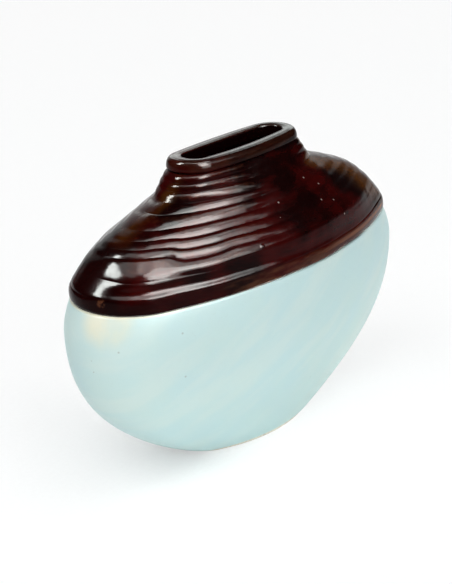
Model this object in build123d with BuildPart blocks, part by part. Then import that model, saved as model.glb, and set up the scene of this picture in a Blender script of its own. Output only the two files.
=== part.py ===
from build123d import *
import math
import os

# A pillow vase: a flattened stoneware vessel, oval from above, on a small bare foot.
# The lower half is a smooth bowl, the upper half a ribbed shoulder that draws in to a
# collar and a thick slot-shaped rim. The potter made the parts one by one and luted them
# together. Millimetres, +Z up, +X along the long side. The origin is on the table, in the
# middle of the foot.

os.makedirs("parts", exist_ok=True)

# Whole vessel
vase_height = 172
body_length = 254
body_width = 109
belly_height = 90
wall = 6.4
wall_lift = 3.6  # added along Z where the wall lies nearly flat
fit_clearance = 0.2  # room that one piece has round another
overrun = 1  # how far a cut runs past the surface that it opens

# Foot ring and floor
foot_length = 103
foot_width = 54.5
foot_height = 2
foot_wall = 8
foot_edge_radius = 0.5
floor_thickness = 6.5
floor_cover = 4.2  # how far the floor slab stands back from the outside of the foot

# Seam between the lower bowl and the shoulder
seam_height = 108.4
seam_draw_in_length = 12.4  # how much shorter the seam is than the belly
seam_draw_in_width = 1.4
seam_edge_radius = 0.9
slip_thickness = 0.5
slip_recess = 0.9
lap_ledge = 3.6  # flat ledge outside the raised inner edge of the bowl
lap_height = 4

# Rim, and the groove under it
rim_length = 97.4
rim_width = 36.6
rim_height = 6.2
rim_wall = 9.2
rim_top_radius = 2.1
rim_mouth_radius = 1.5
rim_under_radius = 1.6
groove_draw_in_length = 0.4  # how much shorter the groove is than the rim
groove_draw_in_width = 3

# Raised edges that key the rim to the collar and the collar to the shoulder
rim_key_wall = 2.8
rim_key_height = 2.2
collar_key_margin = 3
collar_key_height = 2.4

# Ends of the ovals: the end arc's radius as a share of the half width
body_end_share = 0.66
rim_end_share = 0.85

# How the bowl swells from the foot to the belly, along each axis
length_swell_powers = (2.45, 1.05)
width_swell_powers = (1.5, 1.13)
bowl_step_power = 1.6
bowl_steps = 6
bowl_rise_shares = (0.5, 1)

# The creases between the ribs, from the seam up to the groove under the rim. The height is
# a share of that rise. The length and the width go from 1 at the seam to 0 at the groove.
# The fullness is how far the rib above the crease stands out, as a share of its height.
crease_shares = (
    # height, length, width, end radius, fullness
    (0.00, 1.00, 1.00, 0.66, 0.04),
    (0.13, 0.985, 1.00, 0.62, 0.10),
    (0.25, 0.91, 0.98, 0.58, 0.15),
    (0.41, 0.79, 0.86, 0.53, 0.20),
    (0.48, 0.725, 0.735, 0.49, 0.20),
    (0.545, 0.64, 0.615, 0.46, 0.20),
    (0.615, 0.50, 0.51, 0.45, 0.20),
    (0.70, 0.31, 0.41, 0.47, 0.20),
    (0.765, 0.165, 0.33, 0.56, 0.18),
    (0.855, 0.095, 0.19, 0.70, 0.18),
    (0.93, 0.05, 0.09, 0.79, 0.16),
    (1.00, 0.00, 0.00, 0.85, 0),
)
collar_crease = 7  # the crease where the shoulder ends and the collar begins
rib_end_relief_share = 0.5  # the ribs' relief at the two ends, where they fade

# Sizes and heights that follow from the ones above
seam_length = body_length - seam_draw_in_length
seam_width = body_width - seam_draw_in_width
groove_length = rim_length - groove_draw_in_length
groove_width = rim_width - groove_draw_in_width
mouth_length = rim_length - 2 * rim_wall
mouth_width = rim_width - 2 * rim_wall
floor_top = foot_height + floor_thickness
shoulder_base = seam_height + slip_thickness
rim_base = vase_height - rim_height
throat_height = rim_base - wall_lift


class Oval(BaseSketchObject):
    """An oval of four tangent arcs: two round ends and two long, flatter sides."""

    def __init__(self, half_length, half_width, end_share, mode=Mode.ADD):
        end_radius = end_share * half_width
        end_centre = half_length - end_radius
        rise = half_width - end_radius
        side_radius = (end_centre**2 + half_width**2 - end_radius**2) / (2 * rise)
        turn = math.degrees(math.atan2(side_radius - half_width, end_centre))
        side_turn = 2 * (90 - turn)
        with BuildSketch() as outline:
            with BuildLine():
                CenterArc((end_centre, 0), end_radius, -turn, 2 * turn)
                CenterArc((0, half_width - side_radius), side_radius, turn, side_turn)
                CenterArc((-end_centre, 0), end_radius, 180 - turn, 2 * turn)
                CenterArc((0, side_radius - half_width), side_radius, 180 + turn, side_turn)
            make_face()
        super().__init__(outline.sketch, rotation=0, align=None, mode=mode)


def swell(share, powers):
    """Share of the way out from the foot to the belly, at a share of the way up."""
    return (1 - (1 - share) ** powers[0]) ** (1 / powers[1])


def bowl_halves(height):
    """Half length and half width of the lower bowl's outside at a height."""
    if height < belly_height:
        share = height / belly_height
        lengthwise = swell(share, length_swell_powers)
        widthwise = swell(share, width_swell_powers)
        length = foot_length + (body_length - foot_length) * lengthwise
        width = foot_width + (body_width - foot_width) * widthwise
    else:
        drawn_in = ((height - belly_height) / (seam_height - belly_height)) ** 2
        length = body_length + (seam_length - body_length) * drawn_in
        width = body_width + (seam_width - body_width) * drawn_in
    return length / 2, width / 2


def crease(index):
    """Height, half length, half width, end share and rib fullness at one crease."""
    height, lengthwise, widthwise, end_share, fullness = crease_shares[index]
    z = shoulder_base + (rim_base - shoulder_base) * height
    length = groove_length + (seam_length - groove_length) * lengthwise
    width = groove_width + (seam_width - groove_width) * widthwise
    return z, length / 2, width / 2, end_share, fullness


def rib_sections(index):
    """The three sections of one rib: a crease, the crest above it and the next crease."""
    lower, upper = crease(index), crease(index + 1)
    z, half_length, half_width, end_share = ((a + b) / 2 for a, b in zip(lower[:4], upper))
    relief = lower[4] * math.hypot(upper[0] - lower[0], upper[2] - lower[2])
    crest = z, half_length + rib_end_relief_share * relief, half_width + relief, end_share
    return lower[:4], crest, upper[:4]


# Foot ring: an unglazed oval ring that the vase stands on
foot_halves = foot_length / 2, foot_width / 2
with BuildPart() as foot_ring:
    with BuildSketch():
        Oval(*foot_halves, body_end_share)
        Oval(*(half - foot_wall for half in foot_halves), body_end_share, mode=Mode.SUBTRACT)
    extrude(amount=foot_height)
    fillet(foot_ring.faces().sort_by(Axis.Z)[0].edges(), foot_edge_radius)
foot_ring.part.label = "foot_ring"
export_step(foot_ring.part, "parts/foot_ring.step")

# Floor slab: let into the bottom of the bowl, and lying on the foot ring
floor_halves = [half - floor_cover for half in foot_halves]
with BuildPart() as floor_slab:
    with BuildSketch(Plane.XY.offset(foot_height)):
        Oval(*floor_halves, body_end_share)
    extrude(amount=floor_thickness)
floor_slab.part.label = "floor_slab"
export_step(floor_slab.part, "parts/floor_slab.step")

# Hollow of the lower half
cavity_sections = []
for step in range(bowl_steps + 1):
    share = (step / bowl_steps) ** bowl_step_power
    height = floor_top + (seam_height - floor_top) * share
    outer = bowl_halves(height - wall_lift * (1 - share))
    cavity_sections.append((height, outer[0] - wall, outer[1] - wall))
with BuildPart() as lower_hollow:
    for height, half_length, half_width in cavity_sections:
        with BuildSketch(Plane.XY.offset(height)):
            Oval(half_length, half_width, body_end_share)
    loft()
    extrude(lower_hollow.faces().sort_by(Axis.Z)[-1], amount=lap_height + overrun)

# Lower bowl: smooth wall with a raised inner edge that the shoulder laps over
bowl_heights = [
    foot_height + (belly_height - foot_height) * (step / bowl_steps) ** bowl_step_power
    for step in range(bowl_steps + 1)
] + [belly_height + (seam_height - belly_height) * share for share in bowl_rise_shares]
lap_halves = (seam_length / 2 - lap_ledge, seam_width / 2 - lap_ledge)
with BuildPart() as lower_bowl:
    for height in bowl_heights:
        with BuildSketch(Plane.XY.offset(height)):
            Oval(*bowl_halves(height), body_end_share)
    loft()
    fillet(lower_bowl.faces().sort_by(Axis.Z)[0].edges(), seam_edge_radius)
    fillet(lower_bowl.faces().sort_by(Axis.Z)[-1].edges(), seam_edge_radius)
    with BuildSketch(Plane.XY.offset(seam_height)):
        Oval(*lap_halves, body_end_share)
    extrude(amount=lap_height)
    add(lower_hollow.part, mode=Mode.SUBTRACT)
    with BuildSketch(Plane.XY.offset(foot_height)):
        Oval(*(half + fit_clearance for half in floor_halves), body_end_share)
    extrude(amount=floor_thickness, mode=Mode.SUBTRACT)
lower_bowl.part.label = "lower_bowl"
export_step(lower_bowl.part, "parts/lower_bowl.step")

# Seam slip: the thin line of slip that lutes the shoulder to the ledge of the bowl
with BuildPart() as seam_slip:
    with BuildSketch(Plane.XY.offset(seam_height)):
        Oval(seam_length / 2 - slip_recess, seam_width / 2 - slip_recess, body_end_share)
        Oval(*(half + fit_clearance for half in lap_halves), body_end_share, mode=Mode.SUBTRACT)
    extrude(amount=slip_thickness)
seam_slip.part.label = "seam_slip"
export_step(seam_slip.part, "parts/seam_slip.step")

# Hollow of the upper half, with the straight throat that ends in the mouth
with BuildPart() as upper_hollow:
    for index in range(len(crease_shares) - 1):
        height, half_length, half_width, end_share = crease(index)[:4]
        drop = wall_lift if index else overrun
        with BuildSketch(Plane.XY.offset(height - drop)):
            Oval(half_length - wall, half_width - wall, end_share)
    with BuildSketch(Plane.XY.offset(throat_height)):
        Oval(mouth_length / 2, mouth_width / 2, rim_end_share)
    loft()
    throat_top = upper_hollow.faces().sort_by(Axis.Z)[-1]
    extrude(throat_top, amount=vase_height - throat_height + overrun)

# Shoulder: ribbed dome over the bowl, one soft rib on top of another
key_halves = [half - collar_key_margin for half in crease(collar_crease + 1)[1:3]]
with BuildPart() as shoulder:
    for index in range(collar_crease):
        for height, half_length, half_width, end_share in rib_sections(index):
            with BuildSketch(Plane.XY.offset(height)):
                Oval(half_length, half_width, end_share)
        loft()
    fillet(shoulder.faces().sort_by(Axis.Z)[0].edges(), seam_edge_radius)
    with BuildSketch(Plane.XY.offset(crease(collar_crease)[0])):
        Oval(*key_halves, rim_end_share)
    extrude(amount=collar_key_height)
    add(upper_hollow.part, mode=Mode.SUBTRACT)
    with BuildSketch(Plane.XY.offset(shoulder_base)):
        Oval(*(half + fit_clearance for half in lap_halves), body_end_share)
    extrude(amount=lap_height - slip_thickness + fit_clearance, mode=Mode.SUBTRACT)
shoulder.part.label = "shoulder"
export_step(shoulder.part, "parts/shoulder.step")

# Collar: the ribs that turn up into the neck, keyed over the raised edge of the shoulder
rim_key_halves = (mouth_length / 2 + rim_key_wall, mouth_width / 2 + rim_key_wall)
with BuildPart() as collar:
    for index in range(collar_crease, len(crease_shares) - 1):
        for height, half_length, half_width, end_share in rib_sections(index):
            with BuildSketch(Plane.XY.offset(height)):
                Oval(half_length, half_width, end_share)
        loft()
    with BuildSketch(Plane.XY.offset(rim_base)):
        Oval(*rim_key_halves, rim_end_share)
    extrude(amount=rim_key_height)
    add(upper_hollow.part, mode=Mode.SUBTRACT)
    with BuildSketch(Plane.XY.offset(crease(collar_crease)[0])):
        Oval(*(half + fit_clearance for half in key_halves), rim_end_share)
    extrude(amount=collar_key_height + fit_clearance, mode=Mode.SUBTRACT)
collar.part.label = "collar"
export_step(collar.part, "parts/collar.step")

# Rim: a thick flat-topped ring with rounded edges, seated over the collar's raised edge
with BuildPart() as rim:
    with BuildSketch(Plane.XY.offset(rim_base)):
        Oval(rim_length / 2, rim_width / 2, rim_end_share)
        Oval(mouth_length / 2, mouth_width / 2, rim_end_share, mode=Mode.SUBTRACT)
    extrude(amount=rim_height)
    fillet(rim.faces().sort_by(Axis.Z)[-1].outer_wire().edges(), rim_top_radius)
    fillet(rim.faces().sort_by(Axis.Z)[-1].inner_wires()[0].edges(), rim_mouth_radius)
    fillet(rim.faces().sort_by(Axis.Z)[0].outer_wire().edges(), rim_under_radius)
    with BuildSketch(Plane.XY.offset(rim_base)):
        Oval(*(half + fit_clearance for half in rim_key_halves), rim_end_share)
    extrude(amount=rim_key_height + fit_clearance, mode=Mode.SUBTRACT)
rim.part.label = "rim"
export_step(rim.part, "parts/rim.step")
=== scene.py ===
"""A pillow vase dressed for its portrait: ribbed brown shoulder, pale bowl, thick rim.

Metres, +Z up, +X along the long side, the origin on the table under the middle of the foot.
"""

import math

import bpy
from bpy.props import FloatProperty, FloatVectorProperty, IntProperty, PointerProperty
from mathutils import Matrix, Vector, noise


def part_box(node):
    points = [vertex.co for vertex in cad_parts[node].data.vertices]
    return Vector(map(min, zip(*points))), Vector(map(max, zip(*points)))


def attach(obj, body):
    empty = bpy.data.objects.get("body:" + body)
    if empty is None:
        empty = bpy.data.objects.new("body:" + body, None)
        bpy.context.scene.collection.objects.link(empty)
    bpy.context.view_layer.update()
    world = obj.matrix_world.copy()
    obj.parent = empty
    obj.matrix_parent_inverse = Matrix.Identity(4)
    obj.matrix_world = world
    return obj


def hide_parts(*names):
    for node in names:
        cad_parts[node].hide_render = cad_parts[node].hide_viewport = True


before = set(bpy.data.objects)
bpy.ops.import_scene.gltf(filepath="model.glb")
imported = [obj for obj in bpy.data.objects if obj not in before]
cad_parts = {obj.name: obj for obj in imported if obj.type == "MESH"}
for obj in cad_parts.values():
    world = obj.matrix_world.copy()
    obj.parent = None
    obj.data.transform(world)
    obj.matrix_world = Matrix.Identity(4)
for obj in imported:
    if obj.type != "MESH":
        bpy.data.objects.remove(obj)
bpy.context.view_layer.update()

bl_info = {
    "name": "Pillow Vase",
    "version": (1, 0, 0),
    "blender": (4, 5, 0),
    "location": "3D View > Sidebar > Vase",
    "description": "Makes a flattened vase with a ribbed shoulder, piece by piece",
    "category": "Add Mesh",
}

ROOT = "root"

# The smooth wall that the ribs stand on, from the seam up to the groove under the rim. The place
# counts the creases between the ribs. The height is a share of the rise. The length and the width
# go from 1 at the seam to 0 at the groove. The end radius is a share of the half width.
STATIONS = (
    # place, height, length, width, end radius
    (0.00, 0.000, 1.000, 1.000, 0.66),
    (1.00, 0.135, 0.988, 1.000, 0.62),
    (1.26, 0.157, 0.980, 0.989, 0.615),
    (1.52, 0.185, 0.962, 0.977, 0.605),
    (2.00, 0.275, 0.900, 0.965, 0.58),
    (3.00, 0.410, 0.790, 0.860, 0.53),
    (4.00, 0.480, 0.725, 0.735, 0.49),
    (5.00, 0.545, 0.640, 0.615, 0.46),
    (6.00, 0.615, 0.500, 0.510, 0.45),
    (7.00, 0.700, 0.310, 0.410, 0.47),
    (8.00, 0.765, 0.165, 0.330, 0.56),
    (9.00, 0.855, 0.095, 0.190, 0.70),
    (10.0, 0.930, 0.050, 0.090, 0.79),
    (11.0, 1.000, 0.000, 0.000, 0.85),
)
# On the left half a ledge runs round above the first crease: how much wider and how much longer
# the wall is at each place, as shares of what it is drawn in from the seam to the groove
LEDGE_WIDTH = (
    (0.0, 0.0), (1.0, 0.002), (1.2, 0.005), (1.52, -0.013),
    (2.0, 0.003), (2.25, 0.010), (2.6, 0.004), (3.0, 0.0), (11.0, 0.0),
)
LEDGE_LENGTH = (
    (0.0, 0.0), (1.0, 0.0), (1.26, -0.004), (1.52, -0.014),
    (2.0, 0.033), (2.5, 0.018), (3.0, 0.0), (11.0, 0.0),
)
LEDGE_REACH = 0.04  # the share that the top of a ledge curve's node stands for
# How far each rib stands out, in metres: at the left end, along the left half, on the right half
RELIEFS = (
    (0.00000, 0.00000, 0.00080),
    (0.00000, 0.00000, 0.00020),
    (0.00140, 0.00100, 0.00020),
    (0.00030, 0.00110, 0.00020),
    (0.00015, 0.00100, 0.00020),
    (0.00045, 0.00100, 0.00025),
    (0.00090, 0.00110, 0.00030),
    (0.00070, 0.00090, 0.00030),
    (0.00100, 0.00115, 0.00030),
    (0.00090, 0.00095, 0.00025),
    (0.00090, 0.00110, 0.00030),
)
RIB_COUNT = len(RELIEFS)
SHOULDER_RIBS = 7
FULL_RELIEF = 0.002  # the relief that the top of a relief curve's node stands for
# Towards the left end a few creases climb: how far, in ribs, for each place
CLIMB = (
    (0.0, 0.0), (1.3, 0.0), (2.0, 0.075), (3.0, 0.5), (4.0, 0.4), (5.0, 0.2), (6.0, 0.0),
    (11.0, 0.0),
)
# The next curves and ranges run along a face, from its left end (0) to its right end (1). The
# back is the front turned round. How much of the climb there is:
CLIMB_ROUND = (
    (0.0, 1.0), (0.08, 1.0), (0.16, 0.3), (0.20, 0.1), (0.24, 0.1), (0.31, 0.3), (0.86, 0.3),
    (1.0, 1.0),
)
NO_CLIMB = 0.3  # the value of that curve that stands for none
# Where the reliefs of the left end and those of the right half hold
LEFT_END = ((0.0, 0.7), (0.03, 1.0), (0.08, 1.0), (0.17, 0.0), (0.92, 0.0), (1.0, 0.7))
RIGHT_HALF = ((0.0, 0.3), (0.03, 0.0), (0.31, 0.0), (0.50, 1.0), (0.92, 1.0), (1.0, 0.3))
LEDGE_START = (0.02, 0.08)  # the ledge comes in
LEDGE_STOP = (0.31, 0.50)  # the ledge fades out
RIGHT_END_TURN = (0.20, 0.50)  # how far round the right end its low ribs reach
SOFT_FROM = 1  # the place above which the ribs of the right half are soft
SOFT_RIB = (2, 2.5)  # between these places the rib is soft all round, but for the left end
RIB_LEAN = 1.15  # above 1 a rib is fullest in its upper half
RIB_FULLNESS = 0.72  # below 1 a rib is full, with a tight crease
CREASE_SLACK = 0.001  # puts a crease's own ring on the rib above it, however it is rounded
WELD_DISTANCE = 1e-6

# Heights and half sizes that the frame gives
FOOT_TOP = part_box("foot_ring")[1].z
FLOOR_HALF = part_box("floor_slab")[1]
SEAM_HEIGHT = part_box("seam_slip")[0].z
SHOULDER_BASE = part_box("shoulder")[0].z
RIM_LOW, RIM_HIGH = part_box("rim")
BODY_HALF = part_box("lower_bowl")[1]
SLIP_RECESS = 0.0009  # how far the slip lies behind the edge of the seam
SEAM_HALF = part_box("seam_slip")[1] + Vector((SLIP_RECESS, SLIP_RECESS, 0))
GROOVE_DRAW_IN = Vector((0.0002, 0.0015, 0))  # how far the groove lies inside the rim
GROOVE_HALF = RIM_HIGH - GROOVE_DRAW_IN
FOOT_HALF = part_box("foot_ring")[1]

# The bowl and the rim
BELLY_HEIGHT = 0.090
BODY_END_SHARE = 0.66  # the end radius of an oval, as a share of its half width
RIM_END_SHARE = 0.85
LENGTH_SWELL = (2.45, 1.05)  # the powers in the curve from the foot out to the belly
WIDTH_SWELL = (1.5, 1.13)
INSIDE_SPACING = 0.6  # below 1 the rings of the inside lie closer towards the floor
FIT_CLEARANCE = 0.0002  # between the bowl and the floor slab
WOBBLE_SCALE = 21  # per metre
WOBBLE_SEED = 7  # never 0, which takes the time of day
SHARP_EDGE = math.radians(48)


class Flow:
    """One socket's output, which Python's operators can do sums with."""

    def __init__(self, nodes, socket):
        self.nodes = nodes
        self.socket = socket

    def __add__(self, other):
        return self.nodes.sum("ADD", self, other)

    def __sub__(self, other):
        return self.nodes.sum("SUBTRACT", self, other)

    def __rsub__(self, other):
        return self.nodes.sum("SUBTRACT", other, self)

    def __mul__(self, other):
        return self.nodes.sum("MULTIPLY", self, other)

    def __truediv__(self, other):
        return self.nodes.sum("DIVIDE", self, other)

    def __rtruediv__(self, other):
        return self.nodes.sum("DIVIDE", other, self)

    def __pow__(self, other):
        return self.nodes.sum("POWER", self, other)

    def __abs__(self):
        return self.nodes.sum("ABSOLUTE", self)

    def __lt__(self, other):
        return self.nodes.sum("LESS_THAN", self, other)

    def __gt__(self, other):
        return self.nodes.sum("GREATER_THAN", self, other)

    __radd__ = __add__
    __rmul__ = __mul__


class Nodes:
    """The nodes of one material, world or geometry tree."""

    def __init__(self, tree):
        self.tree = tree

    def add(self, kind, settings=None, inputs=None, output=0):
        """Adds a node: its settings first, then its sockets' values or links."""
        node = self.tree.nodes.new(kind)
        for name, value in (settings or {}).items():
            if name == "points":
                self.set_points(node.mapping, value)
            else:
                setattr(node, name, value)
        for key, value in (inputs or {}).items():
            if isinstance(value, Flow):
                self.tree.links.new(value.socket, node.inputs[key])
            else:
                node.inputs[key].default_value = value
        return Flow(self, node.outputs[output])

    def set_points(self, mapping, points):
        curve = mapping.curves[0]
        while len(curve.points) < len(points):
            curve.points.new(1, 1)
        for point, place in zip(curve.points, points):
            point.location = place
            point.handle_type = "AUTO_CLAMPED"
        mapping.update()

    def sum(self, operation, *values):
        return self.add("ShaderNodeMath", {"operation": operation}, dict(enumerate(values)))

    def vector(self, operation, *values, output=0):
        settings = {"operation": operation}
        return self.add("ShaderNodeVectorMath", settings, dict(enumerate(values)), output)

    def scaled(self, vector, factor):
        settings = {"operation": "SCALE"}
        return self.add("ShaderNodeVectorMath", settings, {0: vector, "Scale": factor})

    def split(self, vector):
        """A vector's three values."""
        node = self.tree.nodes.new("ShaderNodeSeparateXYZ")
        self.tree.links.new(vector.socket, node.inputs[0])
        return [Flow(self, node.outputs[axis]) for axis in "XYZ"]

    def curve(self, value, points):
        return self.add("ShaderNodeFloatCurve", {"points": points}, {"Value": value})

    def pick(self, test, yes, no):
        """yes where the test is 1 and no where it is 0."""
        return no + test * (yes - no)

    def smooth(self, value, low, high):
        """0 below low, 1 above high, and an S-curve between."""
        inputs = {"Value": value, "From Min": low, "From Max": high}
        return self.add("ShaderNodeMapRange", {"interpolation_type": "SMOOTHSTEP"}, inputs)

    def mix(self, factor, first, second):
        """A colour between two colours, whose sockets share their names with others."""
        inputs = {"Factor": factor, 6: first, 7: second}
        return self.add("ShaderNodeMix", {"data_type": "RGBA"}, inputs, output=2)

    def tint(self, colour, mask, tone, share=1):
        """The colour, with a share of a tone mixed in where the mask is 1."""
        return self.mix(mask if share == 1 else mask * share, colour, (*tone, 1))


def oval_point(half_length, half_width, end_share, turn):
    """A point on an oval of four tangent arcs, at a share of its length (0 to 1)."""
    end_radius = end_share * half_width
    end_centre = half_length - end_radius
    rise = half_width - end_radius
    side_radius = (end_centre**2 + half_width**2 - end_radius**2) / (2 * rise)
    meet = math.atan2(side_radius - half_width, end_centre)
    quarter = turn * 4 % 4
    index = int(quarter)
    share = quarter - index if index % 2 == 0 else 1 - quarter + index
    end_run = end_radius * meet
    run = share * (end_run + side_radius * (math.pi / 2 - meet))
    if run < end_run:
        angle = run / end_radius
        x, y = end_centre + end_radius * math.cos(angle), end_radius * math.sin(angle)
    else:
        angle = meet + (run - end_run) / side_radius
        x = side_radius * math.cos(angle)
        y = half_width - side_radius + side_radius * math.sin(angle)
    return (x if index in (0, 3) else -x), (y if index < 2 else -y)


def shell(name, rings, inner, around, wobble, material):
    """A closed shell through a loop of oval rings, each of height, half sizes and end share.

    The rings from the number inner on are kept as the inside, in an attribute.
    """
    noise.seed_set(WOBBLE_SEED)
    points = []
    for height, half_length, half_width, end_share in rings:
        for step in range(around):
            x, y = oval_point(half_length, half_width, end_share, step / around)
            points.append(wobbled(Vector((x, y, height)), wobble))
    faces = []
    for ring in range(len(rings)):
        following = (ring + 1) % len(rings)
        for step in range(around):
            after = (step + 1) % around
            corners = (ring, step), (ring, after), (following, after), (following, step)
            faces.append([row * around + column for row, column in corners])
    mesh = bpy.data.meshes.new(name)
    mesh.from_pydata(points, [], faces)
    mesh.materials.append(material)
    mark = mesh.attributes.new("inner", "FLOAT", "POINT")
    mark.data.foreach_set("value", [float(i >= inner * around) for i in range(len(points))])
    piece = bpy.data.objects.new(name, mesh)
    finish_mesh(piece)
    return piece


def wobbled(point, amount):
    """The point, moved by the slow unevenness of a hand-made pot."""
    return point + noise.noise_vector(point * WOBBLE_SCALE) * amount


def finish_mesh(piece):
    """Links a piece, with smooth faces and its hard edges kept."""
    piece.data.polygons.foreach_set("use_smooth", [True] * len(piece.data.polygons))
    piece.data.set_sharp_from_angle(angle=SHARP_EDGE)
    piece.data.validate()
    if piece.name not in bpy.context.scene.collection.objects:
        bpy.context.scene.collection.objects.link(piece)


# ---------------- bowl and rim
def swell(share, powers):
    """Share of the way out from the foot to the belly, at a share of the way up."""
    return (1 - (1 - share) ** powers[0]) ** (1 / powers[1])


def bowl_halves(height):
    """Half length and half width of the bowl's outside at a height."""
    if height < BELLY_HEIGHT:
        share = height / BELLY_HEIGHT
        length = FOOT_HALF.x + (BODY_HALF.x - FOOT_HALF.x) * swell(share, LENGTH_SWELL)
        width = FOOT_HALF.y + (BODY_HALF.y - FOOT_HALF.y) * swell(share, WIDTH_SWELL)
    else:
        drawn_in = ((height - BELLY_HEIGHT) / (SEAM_HEIGHT - BELLY_HEIGHT)) ** 2
        length = BODY_HALF.x + (SEAM_HALF.x - BODY_HALF.x) * drawn_in
        width = BODY_HALF.y + (SEAM_HALF.y - BODY_HALF.y) * drawn_in
    return length, width


def rolled_in(above, radius):
    """How far a rounded edge is drawn in at a height above (or below) its corner."""
    return radius - math.sqrt(max(radius**2 - max(radius - above, 0) ** 2, 0))


def bowl_rings(settings):
    """The bowl's rings: up the outside, over the ledge, down the inside, in under the floor."""
    rings = []
    rise = SEAM_HEIGHT - FOOT_TOP
    for step in range(settings.rings + 1):
        share = (1 - math.cos(math.pi * step / settings.rings)) / 2
        height = FOOT_TOP + rise * share
        edge = min(height - FOOT_TOP, SEAM_HEIGHT - height)
        inset = rolled_in(edge, settings.edge_radius)
        length, width = bowl_halves(height)
        rings.append((height, length - inset, width - inset, BODY_END_SHARE))
    floor_top = FLOOR_HALF.z
    inside = settings.rings // 2
    for step in range(inside + 1):
        share = (step / inside) ** INSIDE_SPACING
        height = SEAM_HEIGHT + (floor_top - SEAM_HEIGHT) * share
        length, width = bowl_halves(height - settings.wall_lift * share)
        rings.append((height, length - settings.wall, width - settings.wall, BODY_END_SHARE))
    length, width = FLOOR_HALF.x + FIT_CLEARANCE, FLOOR_HALF.y + FIT_CLEARANCE
    rings.append((floor_top, length, width, BODY_END_SHARE))
    rings.append((FOOT_TOP, length, width, BODY_END_SHARE))
    return rings


def rim_rings(settings):
    """The rim's rings: out under it, up its rounded side, over the top, down the mouth."""
    low, high = RIM_LOW.z, RIM_HIGH.z
    lip = high - settings.crown
    foot, side = settings.foot_radius, settings.side_radius
    shoulder_rise = lip - low - foot
    quarter = [math.pi / 2 * step / settings.steps for step in range(settings.steps + 1)]
    profile = [(foot * (1 - math.sin(turn)), low + foot * (1 - math.cos(turn))) for turn in quarter]
    for turn in quarter[1:]:
        rise = low + foot + shoulder_rise * math.sin(turn)
        profile.append((side * (1 - math.cos(turn)), rise))
    inner = settings.wall - settings.mouth_radius
    for step in range(1, settings.steps):
        share = step / settings.steps
        rise = settings.crown * math.sin(math.pi * share)
        profile.append((side + (inner - side) * share, lip + rise))
    for turn in quarter:
        inset = inner + settings.mouth_radius * math.sin(turn)
        profile.append((inset, lip - settings.mouth_radius * (1 - math.cos(turn))))
    profile.append((settings.wall, low))
    return [
        (z, RIM_HIGH.x - inset, RIM_HIGH.y - inset, RIM_END_SHARE) for inset, z in profile
    ]


# ---------------- ribs
RIB_INPUTS = (
    # name, socket, default
    ("Around", "NodeSocketInt", 560),
    ("Rings Per Rib", "NodeSocketInt", 14),
    ("Inner Rings Per Rib", "NodeSocketInt", 4),
    ("First Rib", "NodeSocketInt", 0),
    ("Ribs", "NodeSocketInt", 7),
    ("Wall", "NodeSocketFloat", 0.0064),
    ("Wall Lift", "NodeSocketFloat", 0.0036),
    ("Relief", "NodeSocketFloat", 1.0),
    ("Edge Roll", "NodeSocketFloat", 0.0012),
    ("Wobble", "NodeSocketFloat", 0.0016),
    ("Wobble Scale", "NodeSocketFloat", 30.0),
    ("Seed", "NodeSocketFloat", 4.0),
    ("Glaze", "NodeSocketMaterial", None),
)


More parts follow.
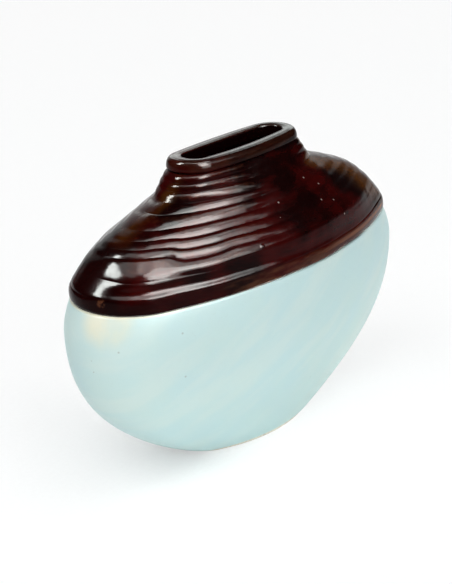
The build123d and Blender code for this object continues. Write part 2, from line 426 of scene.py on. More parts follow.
def rib_tree():
    """The geometry tree of a ribbed wall: an oval shell drawn in from one crease to another."""
    tree = bpy.data.node_groups.new("ribbed_wall", "GeometryNodeTree")
    for name, kind, default in RIB_INPUTS:
        socket = tree.interface.new_socket(name, in_out="INPUT", socket_type=kind)
        if default is not None:
            socket.default_value = default
    tree.interface.new_socket("Geometry", in_out="OUTPUT", socket_type="NodeSocketGeometry")
    g = Nodes(tree)
    group_input = tree.nodes.new("NodeGroupInput")
    given = {name: Flow(g, group_input.outputs[name]) for name, _, _ in RIB_INPUTS}
    outer_rings = given["Rings Per Rib"] * given["Ribs"]
    inner_rings = given["Inner Rings Per Rib"] * given["Ribs"]
    rings = outer_rings + inner_rings + 2
    sheet = g.add(
        "GeometryNodeMeshCylinder",
        {"fill_type": "NONE"},
        {"Vertices": given["Around"], "Side Segments": rings, "Radius": 1.0, "Depth": 1.0},
    )
    x, y, z = g.split(g.add("GeometryNodeInputPosition"))

    # Which ring: outside going up, then inside coming down, then back to the first ring
    ring = g.sum("ROUND", (z + 0.5) * rings)
    inside = (ring > outer_rings + 0.5) * (ring < rings - 0.5)
    back = ring > rings - 0.5
    rib_up = ring / given["Rings Per Rib"]
    rib_down = given["Ribs"] - (ring - outer_rings - 1) / given["Inner Rings Per Rib"]
    rib = g.pick(inside, rib_down, rib_up) * (1 - back)
    # The rings lie closer together towards a crease
    rib_floor = g.sum("FLOOR", rib + CREASE_SLACK)
    share = rib - rib_floor
    packed = rib_floor + g.pick(inside, share, (1 - g.sum("COSINE", math.pi * share)) / 2)
    place = packed + given["First Rib"]

    # The place round an oval: 0 at an end, 1 in the middle of a long side
    quarter = g.sum("ARCTAN2", abs(y), abs(x)) / (math.pi / 2)
    face = g.pick(x * y > 0, quarter, 2 - quarter) / 2
    right_end = (x > 0) * (1 - g.smooth(quarter, *RIGHT_END_TURN))
    at_left = g.curve(face, LEFT_END) * (1 - right_end)
    on_right = g.sum("MAXIMUM", g.curve(face, RIGHT_HALF), right_end)
    climb = g.curve(place / RIB_COUNT, [(i / RIB_COUNT, rise) for i, rise in CLIMB])
    climb_share = (g.curve(face, CLIMB_ROUND) - NO_CLIMB) / (1 - NO_CLIMB)
    along = (place + climb * climb_share) / RIB_COUNT

    def profile(column, low, high):
        points = [(row[0] / RIB_COUNT, row[column]) for row in STATIONS]
        return low + g.curve(along, points) * (high - low)

    height = profile(1, SHOULDER_BASE, RIM_LOW.z)
    half_length = profile(2, GROOVE_HALF.x, SEAM_HALF.x)
    half_width = profile(3, GROOVE_HALF.y, SEAM_HALF.y)
    ledge_share = g.smooth(face, *LEDGE_START) * (1 - g.smooth(face, *LEDGE_STOP))

    def ledge(curve):
        points = [(i / RIB_COUNT, 0.5 + 0.5 * more / LEDGE_REACH) for i, more in curve]
        return (g.curve(along, points) - 0.5) * 2 * LEDGE_REACH * ledge_share

    half_length = half_length + ledge(LEDGE_LENGTH) * (SEAM_HALF.x - GROOVE_HALF.x)
    half_width = half_width + ledge(LEDGE_WIDTH) * (SEAM_HALF.y - GROOVE_HALF.y)
    end_share = profile(4, 0.0, 1.0)
    edge_roll = given["Edge Roll"]
    above = g.sum("MINIMUM", height - SHOULDER_BASE, edge_roll)
    roll = edge_roll - g.sum("SQRT", edge_roll**2 - (edge_roll - above) ** 2)
    inset = g.pick(inside, given["Wall"], roll)
    a = half_length - inset
    b = half_width - inset
    # The inside hangs lower where the wall slopes, so that the wall keeps its thickness
    drop = inside * given["Wall Lift"] * g.smooth(rib, 0.0, 1.0)

    # The oval of four arcs: the place round the first quarter gives an arc and an angle on it
    end_radius = end_share * b
    end_centre = a - end_radius
    side_radius = (end_centre**2 + b**2 - end_radius**2) / (2 * (b - end_radius))
    meet = g.sum("ARCTAN2", side_radius - b, end_centre)
    end_run = end_radius * meet
    run = quarter * (end_run + side_radius * (math.pi / 2 - meet))
    on_end = run < end_run
    angle = g.pick(on_end, run / end_radius, meet + (run - end_run) / side_radius)
    radius = g.pick(on_end, end_radius, side_radius)
    flat_x = g.sum("SIGN", x) * (end_centre * on_end + radius * g.sum("COSINE", angle))
    flat_y = g.sum("SIGN", y) * ((b - side_radius) * (1 - on_end) + radius * g.sum("SINE", angle))
    smooth_place = g.add(
        "ShaderNodeCombineXYZ", inputs={"X": flat_x, "Y": flat_y, "Z": height - drop}
    )
    # Each rib stands out from the smooth wall between its two creases. What is worked out from
    # the straight sheet is kept on its points before they move.
    rib_start = g.sum("FLOOR", place)
    phase = place - rib_start
    full = g.sum("SINE", math.pi * phase ** RIB_LEAN) ** RIB_FULLNESS
    soft = (1 - g.sum("COSINE", 2 * math.pi * phase)) / 2
    soft_rib = (place > SOFT_RIB[0]) * (place < SOFT_RIB[1]) * (1 - at_left)
    softness = g.sum("MAXIMUM", on_right * (place > SOFT_FROM), soft_rib)
    bulge = g.pick(softness, soft, full)
    end_relief, left_relief, right_relief = (
        g.curve(
            (rib_start + 0.5) / RIB_COUNT,
            [((i + 0.5) / RIB_COUNT, row[side] / FULL_RELIEF) for i, row in enumerate(RELIEFS)],
        )
        for side in range(3)
    )
    relief = left_relief + on_right * (right_relief - left_relief)
    relief = (relief + at_left * (end_relief - left_relief)) * FULL_RELIEF
    kept_values = {
        "relief": bulge * (1 - inside) * (1 - back) * relief,
        "inner": inside,
        "turned": angle / (math.pi / 2),
    }
    for name, value in kept_values.items():
        sheet = g.add(
            "GeometryNodeStoreNamedAttribute",
            {"data_type": "FLOAT", "domain": "POINT"},
            {"Geometry": sheet, "Name": name, "Value": value},
        )
    stored = g.add("GeometryNodeSetPosition", inputs={0: sheet, "Position": smooth_place})
    kept = g.add("GeometryNodeInputNamedAttribute", {"data_type": "FLOAT"}, {"Name": "relief"})
    normal = g.add("GeometryNodeInputNormal")
    here = g.add("GeometryNodeInputPosition")
    uneven = g.add(
        "ShaderNodeTexNoise",
        {"noise_dimensions": "4D"},
        {"Vector": here, "W": given["Seed"], "Scale": given["Wobble Scale"], "Detail": 1.0},
        output="Color",
    )
    sway = g.scaled(g.vector("SUBTRACT", uneven, (0.5, 0.5, 0.5)), given["Wobble"])
    offset = g.vector("ADD", g.scaled(normal, kept * given["Relief"]), sway)
    ribbed = g.add("GeometryNodeSetPosition", inputs={0: stored, "Offset": offset})
    welded = g.add("GeometryNodeMergeByDistance", inputs={0: ribbed, "Distance": WELD_DISTANCE})
    shaded = g.add("GeometryNodeSetShadeSmooth", inputs={0: welded})
    real = g.add("GeometryNodeRealizeInstances", inputs={0: shaded})
    glazed = g.add(
        "GeometryNodeSetMaterial", inputs={"Geometry": real, "Material": given["Glaze"]}
    )
    out = tree.nodes.new("NodeGroupOutput")
    tree.links.new(glazed.socket, out.inputs["Geometry"])
    return tree


def ribbed_piece(name, tree, values):
    """Runs the rib tree with its inputs set, and keeps the result as a plain mesh."""
    piece = bpy.data.objects.new(name, bpy.data.meshes.new(name))
    bpy.context.scene.collection.objects.link(piece)
    ribs = piece.modifiers.new("ribs", "NODES")
    ribs.node_group = tree
    for item in tree.interface.items_tree:
        if item.in_out == "INPUT" and item.name in values:
            ribs[item.identifier] = values[item.name]
    view = bpy.context.evaluated_depsgraph_get()
    mesh = bpy.data.meshes.new_from_object(piece.evaluated_get(view))
    piece.modifiers.remove(ribs)
    piece.data = mesh
    mesh.name = name
    mesh.materials.pop(index=0)  # the empty slot of the sheet that the ribs began as
    finish_mesh(piece)
    return piece


# ---------------- finishes
# Small marks, in metres: white dots and a lump in the brown glaze, a chafed spot at its lower
# edge, pinholes and a cream patch in the pale glaze, which is also a painted highlight
WHITE_DOTS = (
    (-0.0056, -0.0359, 0.1436), (0.0262, -0.0291, 0.1485), (0.0357, -0.0325, 0.1430),
    (0.0270, -0.0410, 0.1373), (0.0366, -0.0423, 0.1348), (0.0395, -0.0478, 0.1266),
)
DOT_RADIUS = 0.0007
GLAZE_LUMP = (-0.0360, -0.0487, 0.1298)
LUMP_RADIUS = 0.0018
CHAFED_SPOT = (-0.1193, -0.0076, 0.1153)
CHAFE_RADIUS = 0.0032
PINHOLES = ((-0.0915, -0.0381, 0.0960), (-0.1210, -0.0199, 0.0913), (-0.0900, -0.0370, 0.0704))
PINHOLE_RADIUS = 0.0008
CREAM_AND_HIGHLIGHT_PATCH = (-0.1220, -0.0120, 0.1075)
PATCH_RADIUS = 0.019
MARK_CORE = 0.4  # a mark is whole within this share of its radius

# Where the glazes change, each from where the change starts to where it ends. TOP and BOTTOM are
# heights and START and STOP are places along X, in metres. A TURN goes from 0 at an end of the
# oval to 1 in the middle of a long side.
FULL_CREST = 0.0010  # the relief from which a rib's glaze is at its thinnest
# Painted shade, near black, round the left end of the brown glaze and along its lower edge
END_SHADE_TURN = (0.25, 0.50)
END_SHADE_TOP = (0.137, 0.142)
DARK_BAND_TOP = (0.115, 0.118)
DARK_BAND_STOP = (-0.085, -0.045)
# The tan line is also a painted highlight along the bead above the seam
TAN_LINE_HEIGHT = 0.1134
TAN_LINE_WANDER = 0.002
TAN_LINE_EDGE = (0.0005, 0.0018)
TAN_LINE_START = (-0.03, 0.06)
WARM_BAND_TOP = (0.1150, 0.1168)
WARM_BAND_START = (-0.075, -0.045)
RIM_SIDE_BOTTOM = (RIM_LOW.z, RIM_LOW.z + 0.002)
AMBER_TURN = 0.67
AMBER_WANDER = 0.1
AMBER_EDGE = (0.01, 0.10)
AMBER_BOTTOM = (0.114, 0.120)
AMBER_START = 0.02
NECK_AMBER_TURN = (0.05, 0.35)
NECK_AMBER_BOTTOM = (0.136, 0.142)
FOOT_SHADE_TOP = (0.012, 0.060)
FOOT_SHADE_STOP = (0.02, 0.06)
CREAM_EDGE = (0.0002, 0.0009)  # below the seam
CREAM_EDGE_STOP = (-0.105, -0.06)
PIT_CLOUDS = (0.60, 0.66)  # the level of the clouds in which pits come

PIT_COLOUR = (0.35, 0.28, 0.25)
DOT_COLOUR = (0.40, 0.34, 0.31)
SPECK_COLOUR = (0.45, 0.50, 0.46)
DRIFT_COLOUR = (0.66, 0.76, 0.72)
FOOT_SHADE_COLOUR = (0.43, 0.57, 0.57)
PINHOLE_COLOUR = (0.25, 0.24, 0.20)
# Below a real glaze's 1.5, so that the white floor doesn't grey the glazes
BROWN_IOR = 1.12
PALE_IOR = 1.16
GLAZE_DEPTH = 0.0006  # of the unevenness in a glaze's surface
GRIT_DEPTH = 0.0003


def new_material(name):
    material = bpy.data.materials.new(name)
    material.use_nodes = True
    material.node_tree.nodes.clear()
    return material, Nodes(material.node_tree)


def close_material(nodes, shader):
    output = nodes.tree.nodes.new("ShaderNodeOutputMaterial")
    nodes.tree.links.new(shader.socket, output.inputs["Surface"])


def fine_noise(nodes, place, scale, detail=3.0, output=0):
    return nodes.add(
        "ShaderNodeTexNoise", inputs={"Vector": place, "Scale": scale, "Detail": detail},
        output=output,
    )


def object_place(nodes):
    return nodes.add("ShaderNodeTexCoord", output="Object")


def kept_value(nodes, name):
    """A value that the piece's mesh keeps at its points, and 0 on a piece without it."""
    return nodes.add("ShaderNodeAttribute", {"attribute_name": name}, output="Fac")


def near(nodes, place, centre, radius):
    """1 at a small mark's centre, 0 beyond its radius."""
    away = nodes.vector("DISTANCE", place, centre, output="Value")
    return 1 - nodes.smooth(away, radius * MARK_CORE, radius)


def pits(nodes, place, scale, size, cloud_scale):
    """1 in tiny round pits, which come in patches."""
    cells = nodes.add("ShaderNodeTexVoronoi", {"feature": "F1"}, {"Vector": place, "Scale": scale})
    clouds = fine_noise(nodes, place, cloud_scale, detail=1.0)
    return (cells < size) * nodes.smooth(clouds, *PIT_CLOUDS)


def fire(nodes, colour, rough, height, strength, depth, **sockets):
    """Closes a material with its surface: colour, roughness and the height of its relief."""
    bump = nodes.add(
        "ShaderNodeBump", inputs={"Strength": strength, "Distance": depth, "Height": height}
    )
    inputs = {"Base Color": colour, "Roughness": rough, "Normal": bump, **sockets}
    close_material(nodes, nodes.add("ShaderNodeBsdfPrincipled", inputs=inputs))


def brown_glaze(settings):
    """Glossy dark brown glaze: red-brown over near-black pools, amber where it runs thin, painted
    shade at the left end and along the lower edge, and a painted highlight along the bead by the
    seam.
    """
    material, n = new_material("glossy_brown")
    place = object_place(n)
    x, y, z = n.split(place)
    turned = kept_value(n, "turned")
    crest = n.sum("MINIMUM", kept_value(n, "relief") / FULL_CREST, 1)
    broad = fine_noise(n, place, scale=32.0, detail=2.0)
    streak = fine_noise(n, n.vector("MULTIPLY", place, (60.0, 60.0, 260.0)), scale=1.0)
    mottle = fine_noise(n, place, scale=420.0, detail=4.0)
    lines = fine_noise(n, n.vector("MULTIPLY", place, (30.0, 30.0, 900.0)), scale=1.0, detail=2.0)

    pool = n.smooth(broad + streak * 0.35, 0.52, 0.78)
    colour = n.mix(pool, (*settings.body_colour, 1), (*settings.pool_and_shade_colour, 1))
    thin = n.smooth(crest * 0.55 + mottle * 0.5, 0.62, 1.15)
    colour = n.tint(colour, thin, settings.thin_colour, share=0.6)

    # Painted shade: near black round the left end, and along the lower edge beside it
    painted_end_shade = (x < 0) * (1 - n.smooth(turned, *END_SHADE_TURN))
    painted_end_shade = painted_end_shade * (1 - n.smooth(z, *END_SHADE_TOP))
    painted_band_shade = (1 - n.smooth(z, *DARK_BAND_TOP)) * (1 - n.smooth(x, *DARK_BAND_STOP))
    dark = n.sum("MAXIMUM", painted_end_shade * 0.85, painted_band_shade * 0.6)
    colour = n.tint(colour, dark, settings.pool_and_shade_colour)

    # Tan where it breaks over the lower edge, which also serves as a painted highlight along the
    # bead there, and a trace of it on the rim's side
    off_line = abs(z - TAN_LINE_HEIGHT + (broad - 0.5) * TAN_LINE_WANDER)
    tan_and_highlight_line = (1 - n.smooth(off_line, *TAN_LINE_EDGE)) * n.smooth(x, *TAN_LINE_START)
    warm_band = (1 - n.smooth(z, *WARM_BAND_TOP)) * n.smooth(x, *WARM_BAND_START)
    warm_band = warm_band * n.smooth(streak, 0.3, 0.7)
    rim_side = n.smooth(z, *RIM_SIDE_BOTTOM) * n.smooth(streak, 0.3, 0.6)
    tan = n.sum("MAXIMUM", n.sum("MAXIMUM", tan_and_highlight_line, warm_band * 0.4), rim_side * 0.1)
    colour = n.tint(colour, tan, settings.line_colour)

    # Amber where the wall turns away on the right, and at the left end of the neck
    off_turn = abs(turned + (broad - 0.5) * AMBER_WANDER - AMBER_TURN)
    turning = (1 - n.smooth(off_turn, *AMBER_EDGE)) * (x > AMBER_START) * (y < 0)
    turning = turning * n.smooth(z, *AMBER_BOTTOM)
    neck_end = (1 - n.smooth(turned, *NECK_AMBER_TURN)) * (x < 0) * n.smooth(broad, 0.40, 0.55)
    neck_end = neck_end * n.smooth(z, *NECK_AMBER_BOTTOM) * (z < RIM_LOW.z)
    amber = n.sum("MAXIMUM", turning, neck_end * 0.6)
    colour = n.tint(colour, amber, settings.amber_colour)

    pit = pits(n, place, scale=170.0, size=0.05, cloud_scale=45.0)
    colour = n.tint(colour, pit, PIT_COLOUR, share=0.5)
    colour = n.tint(colour, kept_value(n, "inner"), settings.pool_and_shade_colour)
    for centre in WHITE_DOTS:
        colour = n.tint(colour, near(n, place, centre, DOT_RADIUS), DOT_COLOUR, share=0.75)
    chafe = near(n, place, CHAFED_SPOT, CHAFE_RADIUS) * n.smooth(mottle, 0.4, 0.6)
    colour = n.tint(colour, chafe, settings.line_colour, share=0.5)

    rough = settings.roughness + (mottle - 0.5) * 0.16 + pit * 0.2
    swells = fine_noise(n, place, scale=130.0, detail=2.0)
    height = swells * 0.6 + mottle * 0.12 + lines * 0.2 - pit * 0.8
    height = height + near(n, place, GLAZE_LUMP, LUMP_RADIUS) * 1.5
    fire(n, colour, rough, height, strength=0.35, depth=GLAZE_DEPTH, IOR=BROWN_IOR)
    return material


def pale_glaze(settings):
    """Satin pale blue-green glaze, cream where it is thin at the seam, a painted highlight in a
    cream patch below the seam at the left end, and painted shade near the foot.
    """
    material, n = new_material("satin_pale")
    place = object_place(n)
    x, y, z = n.split(place)
    broad = fine_noise(n, place, scale=14.0, detail=2.0)
    cloud = fine_noise(n, place, scale=60.0, detail=4.0)
    speck = fine_noise(n, place, scale=900.0, detail=2.0)
    tone = n.smooth(broad * 0.7 + cloud * 0.3, 0.35, 0.65)
    colour = n.mix(tone, (*settings.cool_colour, 1), (*settings.warm_colour, 1))
    colour = n.tint(colour, n.smooth(speck, 0.62, 0.75), SPECK_COLOUR, share=0.12)

    # Light drifts that rise slantwise to the right, and a painted shade near the foot
    slant = n.add(
        "ShaderNodeCombineXYZ", inputs={"X": x * 14 + z * 9, "Y": y * 14, "Z": z * 60 - x * 34}
    )
    drift = n.smooth(fine_noise(n, slant, scale=1.0, detail=4.0), 0.42, 0.66)
    colour = n.tint(colour, drift, DRIFT_COLOUR, share=0.4)
    low = (1 - n.smooth(z, *FOOT_SHADE_TOP)) * (1 - n.smooth(x, *FOOT_SHADE_STOP))
    colour = n.tint(colour, low, FOOT_SHADE_COLOUR, share=0.45)

    # Painted highlight: a cream patch below the seam at the left end, also cream where the glaze is
    # thin
    patch = near(n, place, CREAM_AND_HIGHLIGHT_PATCH, PATCH_RADIUS) * (0.5 + 0.5 * n.smooth(cloud, 0.3, 0.6))
    colour = n.tint(colour, patch, settings.edge_colour, share=0.75)
    edge = 1 - n.smooth(SEAM_HEIGHT - z + (cloud - 0.5) * 0.001, *CREAM_EDGE)
    edge = edge * (1 - n.smooth(x, *CREAM_EDGE_STOP))
    colour = n.tint(colour, edge, settings.edge_colour, share=0.7)

    hole = pits(n, place, scale=85.0, size=0.035, cloud_scale=30.0)
    for centre in PINHOLES:
        hole = n.sum("MAXIMUM", hole, near(n, place, centre, PINHOLE_RADIUS))
    colour = n.tint(colour, hole, PINHOLE_COLOUR, share=0.4)
    rough = settings.roughness + (cloud - 0.5) * 0.12 + hole * 0.3
    height = cloud * 0.5 + fine_noise(n, place, scale=240.0, detail=2.0) * 0.2 - hole
    fire(n, colour, rough, height, strength=0.2, depth=GLAZE_DEPTH, IOR=PALE_IOR)
    return material


def gritty_clay(name, light, dark):
    """Unglazed gritty clay."""
    material, n = new_material(name)
    place = object_place(n)
    grit = fine_noise(n, place, scale=700.0)
    cloud = fine_noise(n, place, scale=90.0)
    colour = n.mix(n.smooth(grit * 0.6 + cloud * 0.4, 0.4, 0.62), (*light, 1), (*dark, 1))
    fire(n, colour, 0.75 + grit * 0.2, grit, strength=0.5, depth=GRIT_DEPTH)
    return material


def finish(name, make, *values):
    """The material of that name, made the first time that it is asked for."""
    return bpy.data.materials.get(name) or make(*values)


def coat_node(node, material):
    """Gives a CAD node its finish."""
    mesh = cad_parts[node].data
    mesh.materials.clear()
    mesh.materials.append(material)


# ---------------- settings
def colour_property(name, description, default):
    return FloatVectorProperty(
        name=name, description=description, default=default, subtype="COLOR", min=0, max=1
    )


def length_property(name, description, default):
    return FloatProperty(
        name=name, description=description, default=default, subtype="DISTANCE", unit="LENGTH"
    )


def angle_property(name, description, degrees):
    return FloatProperty(
        name=name, description=description, default=math.radians(degrees), subtype="ANGLE",
        unit="ROTATION",
    )


class BowlSettings(bpy.types.PropertyGroup):
    wall: length_property("Wall", "Thickness of the wall", 0.0064)
    wall_lift: length_property("Wall lift", "Extra height of the hollow near the floor", 0.0036)
    edge_radius: length_property("Edge radius", "Rounding of the bottom and top edge", 0.0009)
    wobble: length_property("Unevenness", "How far the wall wanders", 0.0003)
    rings: IntProperty(name="Rings", description="Rings up the outside", default=72, min=12)
    around: IntProperty(name="Around", description="Points round a ring", default=480, min=48)
    roughness: FloatProperty(
        name="Roughness", description="Roughness of the pale glaze", default=0.38
    )
    cool_colour: colour_property("Cool", "Blue tone of the pale glaze", (0.53, 0.71, 0.72))
    warm_colour: colour_property("Warm", "Green tone of the pale glaze", (0.56, 0.72, 0.70))
    edge_colour: colour_property("Edge", "Cream where the glaze is thin", (0.78, 0.74, 0.56))


class ShoulderSettings(bpy.types.PropertyGroup):
    around: IntProperty(name="Around", description="Points round a ring", default=560, min=48)
    rings: IntProperty(name="Rings", description="Rings on one rib", default=14, min=4)
    wall: length_property("Wall", "Thickness of the wall", 0.0064)
    relief: FloatProperty(name="Relief", description="Depth of the ribs", default=1.0)
    edge_roll: length_property("Edge roll", "Rounding of the edge at the seam", 0.0012)
    wobble: length_property("Unevenness", "How far the ribs wander", 0.0016)
    roughness: FloatProperty(
        name="Roughness", description="Roughness of the brown glaze", default=0.165
    )
    body_colour: colour_property("Body", "Red-brown of the glaze", (0.030, 0.0010, 0.0008))
    # The pool colour is also the painted shade at the left end and along the lower edge
    pool_and_shade_colour: colour_property("Pool", "Where the glaze lies thick", (0.005, 0.0003, 0.0003))
    thin_colour: colour_property("Thin", "Amber where the glaze is thin", (0.07, 0.016, 0.004))
    # In the tan line this colour is also a painted highlight along the bead above the seam
    line_colour: colour_property("Line", "Tan where it breaks over an edge", (0.14, 0.048, 0.022))
    amber_colour: colour_property("Amber", "Where the wall turns away", (0.064, 0.020, 0.0018))


class RimSettings(bpy.types.PropertyGroup):
    wall: length_property("Wall", "Width of the flat rim", 0.0092)
    foot_radius: length_property("Foot rounding", "Rounding of the side's lower edge", 0.001)
    side_radius: length_property("Side rounding", "How far the side leans in", 0.0033)
    mouth_radius: length_property("Mouth rounding", "Rounding of the inner edge", 0.0011)
    crown: length_property("Crown", "How far the flat top rises", 0.0003)
    end_rise: length_property("End rise", "How much higher the top is at the ends", 0.0007)
    wobble: length_property("Unevenness", "How far the rim wanders", 0.0003)
    around: IntProperty(name="Around", description="Points round a ring", default=400, min=48)
    steps: IntProperty(name="Steps", description="Rings on each rounding", default=12, min=3)


class ClaySettings(bpy.types.PropertyGroup):
    light: colour_property("Light", "Light tone of the bare clay", (0.72, 0.66, 0.55))
    dark: colour_property("Dark", "Dark tone of the bare clay", (0.55, 0.48, 0.38))
    # The slip's two tones are painted shade, near black, for the shade in the recessed seam
    slip_painted_shade: colour_property("Slip", "Tone of the slip in the seam", (0.05, 0.03, 0.02))
    slip_painted_shade_dark: colour_property("Slip shade", "Dark tone of the slip", (0.02, 0.012, 0.008))


class StageSettings(bpy.types.PropertyGroup):
    azimuth: angle_property("Azimuth", "Where the camera stands", -48.834)
    elevation: angle_property("Elevation", "How high the camera stands", 21.437)
    roll: angle_property("Roll", "How far the camera leans", -2.687)
    distance: length_property("Distance", "From the camera to the point it aims at", 0.8461)
    aim_side: length_property("Aim sideways", "Sideways shift of that point", -0.007892)
    aim_height: length_property("Aim height", "Height of that point", 0.081125)
    lens: FloatProperty(name="Lens", description="Focal length, millimetres", default=89.134)
    floor_radius: length_property("Floor", "Radius of the floor", 8.0)
    floor_colour: colour_property("Floor colour", "Pale floor", (0.97, 0.972, 0.974))


# ---------------- pieces
class VASE_OT_bowl(bpy.types.Operator):
    """Makes the smooth lower bowl"""

    bl_idname = "vase.bowl"
    bl_label = "Bowl"

    def execute(self, context):
        settings = context.scene.vase_bowl
        glaze = finish("satin_pale", pale_glaze, settings)
        rings = bowl_rings(settings)
        inner = settings.rings + 1
        bowl = shell("pale_bowl", rings, inner, settings.around, settings.wobble, glaze)
        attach(bowl, ROOT)
        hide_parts("lower_bowl")
        return {"FINISHED"}


class VASE_OT_shoulder(bpy.types.Operator):
    """Makes the ribbed shoulder and the ribbed collar with geometry nodes"""

    bl_idname = "vase.shoulder"
    bl_label = "Ribbed shoulder and collar"

    def execute(self, context):
        settings = context.scene.vase_shoulder
        glaze = finish("glossy_brown", brown_glaze, settings)
        tree = rib_tree()
        shared = {
            "Around": settings.around,
            "Rings Per Rib": settings.rings,
            "Wall": settings.wall,
            "Relief": settings.relief,
            "Wobble": settings.wobble,
            "Glaze": glaze,
        }
        runs = (
            ("ribbed_shoulder", "shoulder", 0, SHOULDER_RIBS, settings.edge_roll),
            ("ribbed_collar", "collar", SHOULDER_RIBS, RIB_COUNT - SHOULDER_RIBS, 0.0),
        )
        for name, node, first, ribs, roll in runs:
            values = {**shared, "First Rib": first, "Ribs": ribs, "Edge Roll": roll}
            piece = ribbed_piece(name, tree, values)
            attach(piece, ROOT)
            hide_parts(node)
        return {"FINISHED"}


class VASE_OT_rim(bpy.types.Operator):
    """Makes the thick flat-topped rim"""

    bl_idname = "vase.rim"
    bl_label = "Rim"

    def execute(self, context):
        settings = context.scene.vase_rim
        glaze = finish("glossy_brown", brown_glaze, context.scene.vase_shoulder)
        rings = rim_rings(settings)
        inner = len(rings) - settings.steps // 2
        rim = shell("rim_lip", rings, inner, settings.around, settings.wobble, glaze)
        for vertex in rim.data.vertices:
            upward = (vertex.co.z - RIM_LOW.z) / (RIM_HIGH.z - RIM_LOW.z)
            vertex.co.z += settings.end_rise * upward * (vertex.co.x / RIM_HIGH.x) ** 2
        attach(rim, ROOT)
        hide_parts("rim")
        return {"FINISHED"}


class VASE_OT_clay(bpy.types.Operator):
    """Gives the foot ring, the floor slab and the slip in the seam their finish"""

    bl_idname = "vase.clay"
    bl_label = "Foot, floor and seam"

    def execute(self, context):
        settings = context.scene.vase_clay
        clay = gritty_clay("gritty_clay", settings.light, settings.dark)
        # The slip gets painted shade colours, near black, with the gritty clay's grain
        slip = gritty_clay("seam_shade_slip", settings.slip_painted_shade, settings.slip_painted_shade_dark)
        coat_node("foot_ring", clay)
        coat_node("floor_slab", clay)
        coat_node("seam_slip", slip)
        return {"FINISHED"}


class VASE_OT_stage(bpy.types.Operator):
    """Sets the pale floor, the studio light and the camera"""

    bl_idname = "vase.stage"
    bl_label = "Stage"

    def execute(self, context):
        settings = context.scene.vase_stage
        make_floor(settings)
        make_world(context.scene)
        make_lamps()
        make_camera(settings, context.scene)
        context.scene.view_settings.view_transform = "Standard"
        return {"FINISHED"}


# The floor shines by itself for the camera and in reflections, so it comes out white there
FLOOR_WHITE = 0.75  # the share of what is seen of it that does, the rest keeps the shadow
LEFT_SHADE = 0.34  # how much less of it does under the left of the belly
LEFT_SHADE_REACH = (0.10, 0.22)  # away from the origin, in metres
LEFT_SHADE_STOP = (-0.07, -0.01)  # along X
FLOOR_GLOW = 1.05
FAR_GLOW = 0.06  # how much more of it there is beyond the far end of the next range
FAR_FLOOR = (0.3, 2.0)
GRAIN_SHADE = 0.985
FLOOR_CORNERS = 96


def make_floor(settings):
    material, n = new_material("floor_paper")
    place = object_place(n)
    from_origin = n.vector("LENGTH", place, output="Value")
    grain = fine_noise(n, place, scale=400.0)
    colour = (*settings.floor_colour, 1)
    darker = (*[GRAIN_SHADE * c for c in settings.floor_colour], 1)
    shade = n.mix(n.smooth(grain, 0.3, 0.7), colour, darker)
    paper = n.add(
        "ShaderNodeBsdfPrincipled",
        inputs={"Base Color": shade, "Roughness": 0.9, "Specular IOR Level": 0.1},
    )
    glow = FLOOR_GLOW + FAR_GLOW * n.smooth(from_origin, *FAR_FLOOR)
    white = n.add("ShaderNodeEmission", inputs={"Color": shade, "Strength": glow})
    ray = n.tree.nodes.new("ShaderNodeLightPath")
    seen = Flow(n, ray.outputs["Is Camera Ray"])
    for kind in ("Is Glossy Ray", "Is Transmission Ray"):
        seen = n.sum("MAXIMUM", seen, Flow(n, ray.outputs[kind]))
    by_left = 1 - n.smooth(from_origin, *LEFT_SHADE_REACH)
    by_left = by_left * (1 - n.smooth(n.split(place)[0], *LEFT_SHADE_STOP))
    shining = seen * (FLOOR_WHITE - LEFT_SHADE * by_left)
    shader = n.add("ShaderNodeMixShader", inputs={0: shining, 1: paper, 2: white})
    close_material(n, shader)
    mesh = bpy.data.meshes.new("floor")
    turns = [2 * math.pi * i / FLOOR_CORNERS for i in range(FLOOR_CORNERS)]
    radius = settings.floor_radius
    edge = [(radius * math.cos(turn), radius * math.sin(turn), 0) for turn in turns]
    mesh.from_pydata(edge, [], [list(range(FLOOR_CORNERS))])
    mesh.materials.append(material)
    floor = bpy.data.objects.new("floor", mesh)
    bpy.context.scene.collection.objects.link(floor)


# The white wall behind the vase: the azimuth of its middle, how far it goes to the right and left
# of that, as slopes, and how high its top is, which climbs to the right
WALL_AZIMUTH = math.radians(132)
WALL_RIGHT = (0.55, 0.66)
WALL_LEFT = (-0.56, -0.46)
WALL_TOP = (0.26, 0.44)
ROOM_LEVEL = 0.03  # of the rest of the room


def make_world(scene):
    """A studio room: a white wall behind the vase, and dim all round it."""
    world = bpy.data.worlds.new("studio")
    world.use_nodes = True
    world.node_tree.nodes.clear()
    n = Nodes(world.node_tree)
    x, y, z = n.split(n.add("ShaderNodeTexCoord", output="Generated"))
    behind = x * math.sin(WALL_AZIMUTH) - y * math.cos(WALL_AZIMUTH)
    across = x * math.cos(WALL_AZIMUTH) + y * math.sin(WALL_AZIMUTH)
    aside = across / behind
    wall = (behind > 0) * (1 - n.smooth(aside, *WALL_RIGHT)) * n.smooth(aside, *WALL_LEFT)
    wall = wall * (1 - n.smooth(z - n.sum("MAXIMUM", across, 0), *WALL_TOP))
    level = ROOM_LEVEL + (1 - ROOM_LEVEL) * wall
    shade = n.add("ShaderNodeBackground", inputs={"Color": (1, 1, 1, 1), "Strength": level})
    output = n.tree.nodes.new("ShaderNodeOutputWorld")
    n.tree.links.new(shade.socket, output.inputs["Surface"])
    scene.world = world


def direction_to(azimuth, elevation):
    """Azimuth 0 is in front of the vase, at -Y, and goes towards +X."""
    level = math.cos(elevation)
    return Vector((math.sin(azimuth) * level, -math.cos(azimuth) * level, math.sin(elevation)))


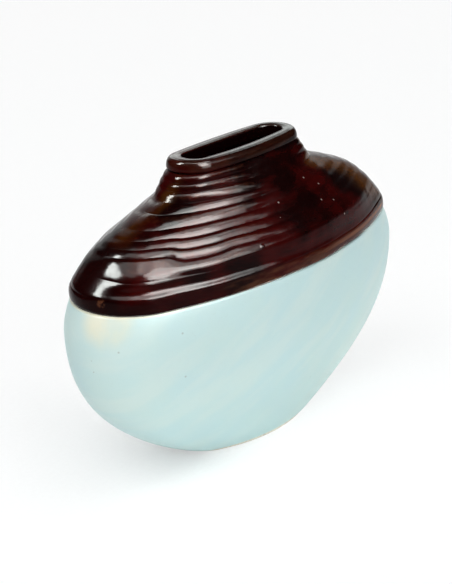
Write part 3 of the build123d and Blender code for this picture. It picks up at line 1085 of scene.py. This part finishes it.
# name, azimuth, elevation, distance, width, height, radiance. The first lamps are seen only in
# the gloss, and the others light the surfaces and aren't seen in it.
GLOSS_LAMPS = (
    ("front_softbox", -6, 41, 1.6, 0.92, 1.05, 124.0),
    ("low_softbox", 3, 26, 1.65, 1.15, 1.00, 46.0),
    ("right_softbox", 33, 42, 1.7, 0.50, 1.05, 17.0),
    ("high_softbox", -22, 70, 1.6, 0.75, 0.60, 44.0),
    ("top_softbox", 33, 63, 1.6, 0.80, 0.55, 31.0),
    ("left_softbox", -125, 45, 1.6, 0.36, 0.58, 235.0),
    ("upper_left_softbox", -88, 69, 1.6, 0.80, 0.60, 19.0),
    ("back_panel", 131, 21, 3.0, 1.9, 1.0, 3.6),
    ("rear_panel", 160, 18, 3.0, 1.7, 1.2, 0.6),
)
SURFACE_LAMPS = (
    ("key", -90, 55, 4.0, 3.0, 3.0, 3.7),
    ("fill", -20, 25, 4.0, 4.0, 2.5, 1.85),
    ("overhead", 45, 75, 4.0, 3.0, 3.0, 1.85),
)
GLOSS_TINT = (0.92, 1.0, 0.97)
LAMP_AIM = Vector((0, 0, 0.1))
SENSOR_WIDTH = 36  # millimetres


def make_lamps():
    for lamps, in_gloss in ((GLOSS_LAMPS, True), (SURFACE_LAMPS, False)):
        for name, azimuth, elevation, distance, width, height, radiance in lamps:
            light = bpy.data.lights.new(name, "AREA")
            light.shape = "RECTANGLE"
            light.size, light.size_y = width, height
            light.energy = radiance * math.pi * width * height
            if in_gloss:
                light.color = GLOSS_TINT
            lamp = bpy.data.objects.new(name, light)
            away = direction_to(math.radians(azimuth), math.radians(elevation))
            lamp.location = LAMP_AIM + away * distance
            lamp.rotation_euler = away.to_track_quat("Z", "Y").to_euler()
            lamp.visible_camera = False
            lamp.visible_diffuse = not in_gloss
            lamp.visible_glossy = in_gloss
            bpy.context.scene.collection.objects.link(lamp)


def make_camera(settings, scene):
    back = direction_to(settings.azimuth, settings.elevation)
    right = Vector((math.cos(settings.azimuth), math.sin(settings.azimuth), 0))
    up = back.cross(right)
    aim = right * settings.aim_side + Vector((0, 0, settings.aim_height))
    turned_right = right * math.cos(settings.roll) + up * math.sin(settings.roll)
    turned_up = up * math.cos(settings.roll) - right * math.sin(settings.roll)
    data = bpy.data.cameras.new("photo_camera")
    data.sensor_width = SENSOR_WIDTH
    data.lens = settings.lens
    camera = bpy.data.objects.new("photo_camera", data)
    matrix = Matrix((turned_right, turned_up, back)).transposed().to_4x4()
    matrix.translation = aim + back * settings.distance
    camera.matrix_world = matrix
    scene.collection.objects.link(camera)
    scene.camera = camera


class VASE_PT_panel(bpy.types.Panel):
    """Lists the vase's pieces and the stage"""

    bl_idname = "VASE_PT_panel"
    bl_label = "Pillow vase"
    bl_space_type = "VIEW_3D"
    bl_region_type = "UI"
    bl_category = "Vase"

    def draw(self, context):
        for operator in OPERATORS:
            self.layout.operator(operator.bl_idname)


OPERATORS = (VASE_OT_bowl, VASE_OT_shoulder, VASE_OT_rim, VASE_OT_clay, VASE_OT_stage)
SETTINGS = {
    "vase_bowl": BowlSettings,
    "vase_shoulder": ShoulderSettings,
    "vase_rim": RimSettings,
    "vase_clay": ClaySettings,
    "vase_stage": StageSettings,
}
CLASSES = (*SETTINGS.values(), *OPERATORS, VASE_PT_panel)


def register():
    for kind in CLASSES:
        bpy.utils.register_class(kind)
    for name, kind in SETTINGS.items():
        setattr(bpy.types.Scene, name, PointerProperty(type=kind))


def unregister():
    for name in SETTINGS:
        delattr(bpy.types.Scene, name)
    for kind in reversed(CLASSES):
        bpy.utils.unregister_class(kind)


def main():
    register()
    for operator in (
        bpy.ops.vase.stage,
        bpy.ops.vase.bowl,
        bpy.ops.vase.shoulder,
        bpy.ops.vase.rim,
        bpy.ops.vase.clay,
    ):
        operator()


if __name__ == "__main__":
    main()
